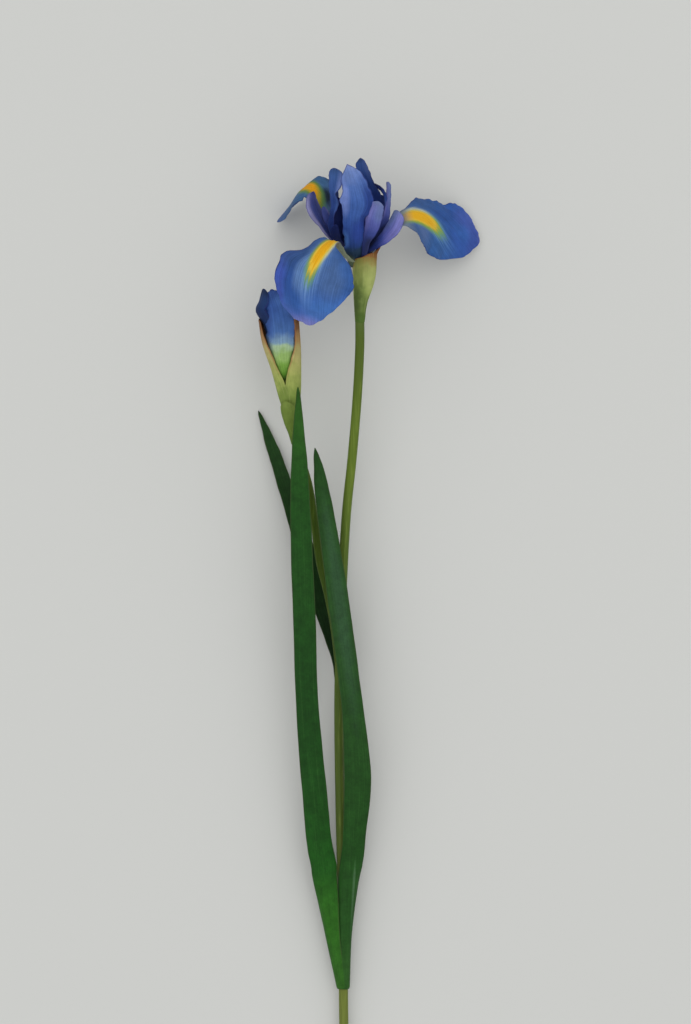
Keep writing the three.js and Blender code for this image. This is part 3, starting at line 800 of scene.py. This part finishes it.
frontStyle = {
    **lobeStock, "name": "frontStyle", "node": "style_arm_front",
    "lobes": [{
        "side": (0.9, -0.2, 0.4),
        "stations": [
            (8, 475, 31, 1.2, 1.2, -20), (1.5, 479, 34.5, 2.4, 1.4, -30),
            (-2.8, 482.6, 40, 3.8, 1.8, -35), (-4.2, 486.6, 44.4, 3.4, 2, -30),
            (-4.8, 491, 47.6, 1.8, 1.6, -30),
        ],
        "end": ((0.15, 2), (0.15, 2)), "phase": 5.5,
    }, {
        "side": (0.95, 0.1, -0.3),
        "stations": [
            (3.5, 479.5, 31.5, 2.5, 2.5, 0), (-0.5, 487, 36, 3.8, 3.4, 0),
            (-2.6, 494, 40.5, 3.4, 3.2, 0), (-3.4, 501, 43, 2.4, 2.2, 0),
            (-3.4, 506.5, 44.5, 1.2, 1, 0),
        ],
        "end": ((0.1, 2), (0.1, 2)), "phase": 6.5,
    }],
    "seed": 49, "streaks": 9, "depth": 0.14,
    # all these near-black colours are painted shade: this arm lies in shadow behind the front fall
    "colours": [(0, "0c1638"), (0.5, "0a1440"), (0.8, "0b1646"), (1, "101e50")],
    "otherSide": "101c4c", "edgeShare": 0.3,
}
addBlades((rightStyle, backStyle, frontStyle), petalSilk, "style arms made")

# stamens, tucked under the style arms
stamenStock = {
    "slot": "stamen", "grid": (40, 12), "thick": 0.9, "edge": 0.5, "crowd": 1.2,
    "end": ((0.1, 2), (0.1, 2)),
}
rightStamen = {
    **stamenStock, "name": "rightStamen", "node": "stamen_right", "side": (0.2, 0.4, -0.9),
    "stations": [
        (12.5, 477, 31.5, 0.7, 0.7, 0), (17.4, 482, 34.6, 0.7, 0.7, 0),
        (22.6, 487.5, 38.4, 1.3, 1.3, 0), (27.4, 493, 41.6, 0.7, 0.7, 0),
    ],
}
backStamen = {
    **stamenStock, "name": "backStamen", "node": "stamen_back", "side": (-0.2, -0.45, 0.87),
    "stations": [
        (9, 476, 27.5, 0.7, 0.7, 0), (0.5, 483.5, 28, 0.7, 0.7, 0),
        (-5.5, 489, 29.5, 1.3, 1.3, 0), (-10.5, 496, 31, 0.7, 0.7, 0),
    ],
}
frontStamen = {
    **stamenStock, "name": "frontStamen", "node": "stamen_front", "side": (0.9, -0.2, 0.4),
    "stations": [
        (10, 474, 31, 0.7, 0.7, 0), (6.5, 476.5, 32, 0.7, 0.7, 0),
        (4, 479, 33.6, 1.1, 1.1, 0), (2, 482.5, 36.4, 0.7, 0.7, 0),
    ],
}


def stamenCream():
    paint = newFinish("stamenCream", {"Roughness": 0.75})
    along = bladePlace(paint)[1]
    grain = cloud(paint, 1400, 3)
    colour = ramp(paint, along, [(0, "6f78a8"), (0.4, "9aa0b8"), (0.55, "cdbb78"), (1, "d8c68a")])
    colour = tint(paint, colour, "b39a4e", grain, 0.5, 0.75)
    return finish(paint, colour, grain, 0.6)


cream = stamenCream()
for stamen in (rightStamen, backStamen, frontStamen):
    addPiece(stamen, bladesOf(stamen), cream)
print("stamens made")

# the bud, half open
budStock = {
    "slot": "bud_petal", "grid": (90, 48), "thick": 0.8, "edge": 0.25, "crowd": 1.5, "nibble": 0.15,
    "rib": {"height": 0.3, "width": 0.12},
    "veins": {"height": 0.05, "count": 18},
}
frontBudPetal = {
    **budStock, "name": "frontBudPetal", "node": "bud_petal_front", "side": (1, 0, 0),
    "stations": [
        (-31, 390, 30.5, 1.5, 1.5, 60), (-31.8, 402, 33.5, 4.4, 4.4, 60),
        (-34, 413, 36.5, 6.5, 6.5, 64), (-35.2, 424, 38.3, 9.8, 9.8, 68),
        (-35.6, 434, 39.3, 10.6, 10.6, 70), (-37.2, 444, 39.2, 9.8, 9.8, 65),
        (-39.2, 450, 38.4, 8, 8, 50), (-40.8, 455, 37.5, 6, 6, 40),
    ],
    "end": ((0.1, 2), (0.16, 2)), "phase": 0.3,
    "ruffle": {"height": 0.35, "waves": 6, "start": 0.2, "power": 3},
    "seed": 51, "streaks": 16, "depth": 0.13, "backOut": True,
    "colours": [
        (0, "2c4810"), (0.16, "365812"), (0.22, "4a7420"), (0.29, "668c38"), (0.36, "84a25c"),
        (0.41, "94ac88"), (0.46, "6f8ca8"), (0.54, "40629a"), (0.75, "345494"), (1, "304a84"),
    ],
    # the third patch, dark green along the left margin low down, is a painted shadow in the V of the bracts
    "stainsAndPaintedLight": [
        (-0.7, 0.66, 0.25, 0.2, "2a4280", 0.6), (0.5, 0.8, 0.4, 0.1, "4a6eac", 0.6),
        (-0.72, 0.27, 0.2, 0.09, "36520e", 0.85), (0.75, 0.25, 0.18, 0.08, "4a6a1c", 0.45),
        (0, 0.15, 1, 0.05, "1e3008", 0.9),
    ],
    "otherSide": "3a5590",
}
leftBudPetal = {
    **budStock, "name": "leftBudPetal", "node": "bud_petal_left", "side": (0.4, 0, 0.9),
    "stations": [
        (-32, 390, 28.5, 1.5, 1.5, 60), (-35, 404, 29.6, 4, 4, 60),
        (-40, 419.5, 31.2, 6.5, 6.5, 60), (-44.2, 435.5, 33, 8, 6.6, 60),
        (-48.5, 443.8, 34, 7.2, 6.6, 45), (-46.6, 450, 34.5, 6.6, 6.6, 40),
        (-45, 456.3, 34.5, 4.5, 4.5, 30),
    ],
    "end": ((0.06, 2), (0.1, 2)), "phase": 1.3,
    "ruffle": {"height": 0.1, "waves": 4, "start": 0.2, "power": 3},
    "seed": 55, "streaks": 12, "depth": 0.15, "backOut": True,
    "colours": [
        (0, "5c7c34"), (0.3, "5c7c54"), (0.42, "1e3660"), (0.6, "162850"), (0.85, "1c3460"), (1, "182644"),
    ],
    "otherSide": "22366c",
}
backBudPetal = {
    **budStock, "name": "backBudPetal", "node": "bud_petal_back", "side": (-0.85, 0, -0.5),
    "stations": [
        (-30.5, 390, 28, 1.5, 1.5, 60), (-29.5, 404, 26, 4, 4, 60),
        (-31.5, 419.5, 24.5, 7, 7, 60), (-33.8, 436, 23.5, 8.5, 8.5, 60),
        (-37, 448, 24.5, 8, 8, 60), (-41, 456.5, 27.5, 3, 3, 40),
    ],
    "end": ((0.12, 2), (0.12, 2)), "phase": 2.3,
    "ruffle": {"height": 0.35, "waves": 6, "start": 0.2, "power": 3},
    "seed": 57, "streaks": 14, "depth": 0.15, "backOut": True,
    "colours": [
        (0, "5f8a34"), (0.3, "7fae4c"), (0.46, "8fb3a0"), (0.56, "4a72b4"), (0.8, "3b5ea6"), (1, "30509c"),
    ],
    "otherSide": "2c4684",
}
addBlades((frontBudPetal, leftBudPetal, backBudPetal), petalSilk, "bud made")

# the green bracts that wrap the bloom's tube and the bud
bloomBractRamp = [
    (0, "526a2a"), (0.2, "5e7234"), (0.42, "83944c"), (0.58, "949f58"), (0.7, "999c58"), (0.78, "8f7a40"),
    (0.84, "85592e"), (0.97, "6a3a20"), (1, "4c2416"),
]
budBractRamp = [
    (0, "566c28"), (0.25, "70843a"), (0.42, "8f9a50"), (0.52, "9c9e5a"), (0.68, "a89c66"), (0.8, "98784e"),
    (0.9, "704a30"), (1, "4e2c1c"),
]
bractStock = {
    "slot": "bract", "grid": (80, 56), "thick": 0.7, "edge": 0.3, "crowd": 1.2, "nibble": 0.1,
    "veins": {"height": 0.05, "count": 20},
    "gloss": {"Roughness": 0.6, "Specular IOR Level": 0.15},
    "streaks": 12, "stretch": 2.4, "mottle": 260, "paperFrom": (0.3, 0.7), "paperShare": 0.8,
}
outerSpathe = {
    **bractStock, "name": "outerSpathe", "node": "bloom_spathe_outer", "side": (0.8, 0, -0.6),
    "stations": [
        (10, 437.4, 29.6, 4.6, 4.6, 115), (10.3, 440.2, 30, 5.4, 5.4, 115),
        (10.6, 444.7, 30.6, 6.2, 6.2, 115), (11.5, 450.3, 31.6, 8, 8, 115),
        (12.6, 454.2, 32.4, 9.6, 9.6, 115), (13.7, 458.2, 33.3, 11.2, 11.2, 115),
        (14.6, 463, 34, 12.4, 12.4, 115), (15.1, 468, 34.4, 12.9, 12.9, 115),
        (15.3, 472.7, 34.7, 12.9, 12.9, 113), (15.8, 476.5, 34.9, 12, 12, 105),
        (18.4, 481.4, 35.2, 9.8, 9.8, 85),
    ],
    "endLine": [0.785, 0.795, 0.82, 0.86, 0.9, 0.955, 1, 0.99, 0.95], "phase": 0.7, "seed": 61,
    "pale": "a8b270", "dark": "5c7030", "paper": "7c4a2a", "paperFrom": (0.6, 0.8),
    "colours": bloomBractRamp,
    # the first patch, darker on the left, is painted shade on that side
    "stainsAndPaintedLight": [
        (-0.75, 0.3, 0.45, 0.22, "3f5224", 0.75), (0.1, 0.05, 1.5, 0.1, "466024", 0.9),
        (-0.7, 0.7, 0.3, 0.2, "75803e", 0.6), (0.15, 0.55, 0.3, 0.14, "a5ae68", 0.6),
    ],
}
innerSpathe = {
    **bractStock, "name": "innerSpathe", "node": "bloom_spathe_inner", "side": (-0.8, 0, 0.6),
    "stations": [
        (7.2, 437.8, 25.9, 4.5, 4.5, 110), (7.1, 443, 25.7, 5.6, 5.6, 110),
        (7, 450.3, 25.4, 7.1, 7.1, 110), (7.2, 458.2, 24.7, 10, 10, 110),
        (7.3, 466, 24.2, 11.9, 11.9, 110), (7.4, 472, 24.4, 11.5, 11.5, 105),
        (7.8, 476, 25, 8, 8, 80),
    ],
    "endLine": [0.84, 0.88, 0.94, 0.99, 0.96, 0.9, 0.84], "phase": 1.7, "seed": 63, "pale": "93a05a",
    "dark": "566a2c", "paper": "8a5a34",
    "colours": bloomBractRamp,
}
leftBudSpathe = {
    **bractStock, "name": "leftBudSpathe", "node": "bud_spathe_left", "side": (-0.3, 0, 0.9),
    "stations": [
        (-32.5, 384, 28, 4.5, 4.5, 100), (-36.3, 396, 28, 9, 10.2, 105),
        (-40.3, 411, 28, 11, 9.8, 85), (-45.3, 426, 29, 8, 8.8, 60),
        (-47.6, 440, 29.6, 3, 5.4, 40),
    ],
    "end": ((0.04, 1.4), (0.04, 1.4)), "phase": 2.7, "seed": 67, "pale": "a8a86a", "dark": "6a7c34",
    "paper": "8a5a36",
    "colours": budBractRamp,
}
rightBudSpathe = {
    **bractStock, "name": "rightBudSpathe", "node": "bud_spathe_right", "side": (0.1, 0, -0.9),
    "stations": [
        (-27.4, 384, 29, 5.5, 5.5, 100), (-25, 396, 29.5, 11.4, 10.5, 105),
        (-24.6, 411, 30, 10.4, 12, 90), (-24.9, 426, 30.5, 6.2, 8.4, 60),
        (-26, 441, 31, 5, 3.2, 40),
    ],
    "end": ((0.03, 1.4), (0.03, 1.4)), "phase": 3.7, "seed": 71, "pale": "a8b068", "dark": "6a7c34",
    "paper": "8a5a36",
    "colours": budBractRamp,
}
budBract = {
    **bractStock, "name": "budBract", "node": "bud_bract", "side": (0.95, 0, 0.3),
    "stations": [
        (-27.8, 369, 31.4, 4, 4, 100), (-28.8, 375, 33, 5.8, 5.8, 100),
        (-30.4, 381, 34.4, 7.4, 7, 95), (-31.9, 387, 35.8, 6.4, 5.4, 75),
        (-33, 393.4, 36.6, 3.4, 3, 40),
    ],
    "end": ((0.12, 1.5), (0.12, 1.5)), "phase": 4.7, "seed": 73, "pale": "7c8e42", "dark": "4c6426",
    "paper": "687a34",
    "colours": [(0, "48621e"), (0.4, "5a7028"), (0.75, "627630"), (1, "6a7c38")],
}


# Green below, with pale and dark streaks, and dry as paper towards the tip and the margins.
def bractSkin(bract):
    paint = newFinish(bract["name"] + "Skin", bract["gloss"])
    across, along = bladePlace(paint)
    fine = streaks(paint, across, along, bract["streaks"], bract["stretch"], bract["seed"], 3)
    mottle = cloud(paint, bract["mottle"], 3)
    unrest = offMiddle(paint, mottle)
    colour = ramp(paint, calc(paint, "MULTIPLY_ADD", unrest, 0.16, along), bract["colours"])
    colour = tint(paint, colour, bract["pale"], fine, 0.5, 0.72, 0.35)
    colour = tint(paint, colour, bract["dark"], fine, 0.46, 0.28, 0.35)
    colour = layStainsAndPaintedLight(paint, colour, across, along, unrest, bract.get("stainsAndPaintedLight", ()))
    colour = shade(paint, colour, mottle, 0.1)
    toEdge = calc(paint, "MULTIPLY_ADD", unrest, 1.4, mark(paint, "margin"))
    papery = times(paint, ease(paint, toEdge, 1.3, 0.1), ease(paint, along, *bract["paperFrom"]))
    colour = over(paint, times(paint, papery, bract["paperShare"]), colour, bract["paper"])
    return finish(paint, colour, calc(paint, "MULTIPLY_ADD", mottle, 0.4, fine), 0.4)


addBlades((outerSpathe, innerSpathe, leftBudSpathe, rightBudSpathe, budBract), bractSkin, "bracts made")

# stem, bud stalk and flower tube
stalkStock = {
    "gloss": {"Roughness": 0.5, "Specular IOR Level": 0.15},
    "fibres": (900, 30, 900), "mottle": 110,
}
stem = {
    **stalkStock, "name": "stem", "node": "main_stem", "slot": "stem", "radii": [stemRadius, stemRadius],
    "rows": 280,
    "path": [
        (0, 0, stemRadius), (-0.5, 49, 5.4), (-1.3, 111, 8.6), (-2.6, 168, 11.6), (-3.2, 225, 14.6),
        (-1.8, 276, 17.2), (0.8, 327, 20.2), (4.2, 361, 22.4), (7, 394, 24.6), (8.5, 422, 26.6),
        (8.6, 438, 27.6),
    ],
    "pale": "7f8e3e", "dark": "46581e",
    "colours": [
        (0, "6a7430"), (0.12, "626c2c"), (0.3, "46581e"), (0.5, "4a5f20"), (0.7, "586c1f"),
        (0.93, "4a5c1c"), (1, "50632a"),
    ],
}
budStalk = {
    **stalkStock, "name": "budStalk", "node": "bud_branch", "slot": "stem", "radii": [2.2, 2.2],
    "rows": 120,
    "path": [
        (-3.4, 247, 19.6), (-6, 268, 20.8), (-9.6, 286, 21.8), (-14, 304, 23), (-17, 327, 24.4),
        (-20, 346, 26), (-25, 363, 27.6), (-29.5, 378, 28.6), (-31, 392, 29),
    ],
    "pale": "6c8030", "dark": "2e440e",
    "colours": [(0, "3a4e10"), (0.5, "40560f"), (1, "52681e")],
}
tube = {
    **stalkStock, "name": "tube", "node": "flower_tube", "slot": "tube",
    "radii": [1.7, 2.1, 2.4, 2.6, 2.75, 2.8, 2.9, 2.95, 2.9, 2.3], "rows": 60,
    "path": [(8.7, 438.4, 27.8), (12, 474, 29.6)],
    "pale": "a7b57a", "dark": "6a7d3c",
    "colours": [(0, "6f8436"), (0.5, "93a358"), (1, "9aa86a")],
}


# A round stalk along its path, with shallow ribs and a closed cut at each end. The cut has an
# inner ring that stands out by a small step, and its middle stands out less.
def stalkMesh(stalk):
    columns, ribs, ribHeight = 40, 9, 0.04
    cutShare, cutStep, cutBulge = 0.88, 0.15, 0.05
    rows = stalk["rows"]
    t = np.linspace(0, 1, rows)
    line = runThrough(stalk["path"], t)
    tangent = unit(np.gradient(line, axis=0))
    sideways = unit(np.array((1.0, 0, 0)) - tangent * tangent[:, :1])
    up = np.cross(sideways, tangent)
    angle = np.linspace(0, 2 * math.pi, columns, endpoint=False)
    radius = np.interp(t, np.linspace(0, 1, len(stalk["radii"])), stalk["radii"])
    reach = radius[:, None] + ribHeight * np.cos(ribs * angle)
    ring = line[:, None] + reach[..., None] * (
        np.cos(angle)[None, :, None] * sideways[:, None] + np.sin(angle)[None, :, None] * up[:, None]
    )
    index = np.arange(rows * columns).reshape(rows, columns)
    after = np.roll(index, -1, axis=1)
    faces = np.stack([index[:-1], after[:-1], after[1:], index[1:]], -1).reshape(-1, 4).tolist()
    places = ring.reshape(-1, 3)
    around = np.tile(np.linspace(0, 1, columns, endpoint=False), rows)
    uvs = np.stack([around, np.repeat(t, columns)], 1)
    for row, sign in ((0, -1), (rows - 1, 1)):
        base = len(places)
        inner = line[row] + (ring[row] - line[row]) * cutShare + tangent[row] * sign * cutStep
        places = np.vstack([places, inner, line[row] + tangent[row] * sign * cutBulge])
        uvs = np.vstack([uvs, uvs[row * columns:(row + 1) * columns], (0.5, t[row])])
        for column in range(columns):
            following = (column + 1) % columns
            rim = [int(index[row][column]), int(index[row][following])]
            faces.append([*rim, base + following, base + column])
            faces.append([base + column, base + following, base + columns])
    return {"places": places, "faces": faces, "uvs": uvs, "marks": {}}


# Green with fibres along it, pale and dark, and dark mottling.
def stalkSkin(stalk):
    paint = newFinish(stalk["name"] + "Skin", stalk["gloss"])
    along = bladePlace(paint)[1]
    stretched = newNode(paint, "Mapping")
    put(paint, here(paint), stretched.inputs["Vector"])
    stretched.inputs["Scale"].default_value = stalk["fibres"]
    fibre = cloud(paint, 1, 3, stretched.outputs[0])
    colour = ramp(paint, along, stalk["colours"])
    colour = tint(paint, colour, stalk["pale"], fibre, 0.5, 0.75, 0.3)
    colour = tint(paint, colour, stalk["dark"], fibre, 0.5, 0.25, 0.4)
    colour = tint(paint, colour, stalk["dark"], cloud(paint, stalk["mottle"], 3), 0.5, 0.8, 0.3)
    return finish(paint, colour, fibre, 0.3)


for stalk in (stem, budStalk, tube):
    addPiece(stalk, stalkMesh(stalk), stalkSkin(stalk))
print("stalks made")

# the leaves
leafStock = {
    "slot": "leaf", "grid": (340, 36), "thick": 0.75, "edge": 0.35, "crowd": 1.1, "nibble": 0.1,
    "veins": {"height": 0.05, "count": 15},
    "gloss": {"Roughness": 0.5, "Specular IOR Level": 0.1},
    "streaks": 12, "stretch": 9, "mottle": 170, "specks": 900, "pale": "35602a", "deep": "0f2a0c",
    "rim": "3c4a2a", "rimWidth": 0.7,
}
leftLeaf = {
    **leafStock, "name": "leftLeaf", "node": "leaf_left", "side": (1, 0, 0),
    "stations": [
        (-3.5, 61, 7.9, 4.4, 5.4, 96, -60), (-8.8, 89, 10.8, 5.4, 7.4, 68, -52),
        (-12.3, 118, 15.2, 6.4, 8.8, 55, -24), (-13.2, 132, 17.4, 6.7, 9.4, 50, -8),
        (-14.4, 145, 18.6, 7.4, 8, 40, 0), (-17, 175, 21.6, 7.2, 7.2, 25, 0),
        (-21, 226, 26.5, 6.5, 6.5, 20, 0), (-22.8, 282, 31.5, 6.4, 6.4, 20, 0),
        (-24.6, 332, 37, 5.8, 5.8, 20, 0), (-25.3, 371, 42, 3.7, 3.7, 15, 0),
        (-25.8, 401, 46, 0.8, 0.8, 10, 0),
    ],
    "end": ((0.02, 2), (0.02, 2)), "phase": 0.2, "seed": 81,
    "colours": [
        (0, "2c5a1a"), (0.12, "285c16"), (0.3, "184c12"), (0.6, "163e12"), (0.8, "1a4414"), (1, "2a5418"),
    ],
}
rightLeaf = {
    **leafStock, "name": "rightLeaf", "node": "leaf_right", "side": (1, 0, 0),
    "stations": [
        (2, 61, 8.1, 4.4, 3.5, 86, 52), (2.7, 89, 11, 7.8, 4.6, 100, 50),
        (4.4, 118, 14.8, 9.4, 6.2, 90, 30), (5.2, 132, 16.6, 8.6, 6.6, 60, 15),
        (6, 146, 18, 7.4, 6.4, 40, 5), (7.8, 180, 21, 8.4, 7.4, 25, 0),
        (5.5, 216, 25, 6.8, 6, 20, 0), (0.5, 253, 29, 6, 6, 20, 0),
        (-4.5, 290, 32, 6, 6, 20, 0), (-10.5, 330, 34, 4.8, 4.8, 20, 0),
        (-13.5, 350, 35, 3.6, 3.6, 15, 0), (-16.5, 367.4, 36, 0.8, 0.8, 10, 0),
    ],
    "end": ((0.03, 2), (0.03, 2)), "phase": 1.2, "seed": 87,
    "colours": [(0, "28501c"), (0.12, "1f4818"), (0.35, "1a4214"), (0.7, "22441c"), (1, "1c4016")],
    # the first patch, pale grey-green near the midrib, is a painted sheen streak
    "stainsAndPaintedLight": [(0.1, 0.2, 0.1, 0.07, "4a6a4a", 0.6), (0.1, 0.7, 0.5, 0.12, "33523a", 0.5)],
}
backLeaf = {
    **leafStock, "name": "backLeaf", "node": "leaf_back", "side": (1, 0, 0),
    "stations": [
        (-3.5, 231, 11, 1.6, 2.5, -40), (-5, 250, 10.2, 2.8, 4.5, -30),
        (-12.5, 277, 7.8, 5, 5.5, -25), (-20.5, 304, 6.2, 5.5, 5.5, -20),
        (-29, 332, 4.8, 4.8, 4.8, -20), (-36.5, 355, 3.5, 4, 4, -20),
        (-42.5, 372, 2.3, 3, 3, -15), (-49, 389.2, 1, 0.5, 0.5, -10),
    ],
    "end": ((0.02, 2), (0.02, 2)), "phase": 2.2, "seed": 93,
    "colours": [(0, "0c240a"), (0.4, "102c0c"), (1, "1c3c16")],
}


# Green, with fine pale and deep streaks, mottled and specked, and browner at its rim.
def leafSkin(leaf):
    paint = newFinish(leaf["name"] + "Skin", leaf["gloss"])
    across, along = bladePlace(paint)
    fine = streaks(paint, across, along, leaf["streaks"], leaf["stretch"], leaf["seed"], 4)
    mottle = cloud(paint, leaf["mottle"], 4)
    speck = cloud(paint, leaf["specks"], 3)
    unrest = offMiddle(paint, mottle)
    colour = ramp(paint, along, leaf["colours"])
    colour = layStainsAndPaintedLight(paint, colour, across, along, unrest, leaf.get("stainsAndPaintedLight", ()))
    colour = tint(paint, colour, leaf["pale"], fine, 0.5, 0.78, 0.3)
    colour = tint(paint, colour, leaf["deep"], fine, 0.48, 0.25, 0.35)
    colour = shade(paint, colour, mottle, 0.18)
    colour = shade(paint, colour, speck, 0.12)
    toEdge = calc(paint, "MULTIPLY_ADD", unrest, 0.8, mark(paint, "margin"))
    colour = tint(paint, colour, leaf["rim"], toEdge, leaf["rimWidth"], 0.1, 0.6)
    return finish(paint, colour, calc(paint, "MULTIPLY_ADD", speck, 0.4, fine), 0.45)


addBlades((leftLeaf, rightLeaf, backLeaf), leafSkin, "leaves made")
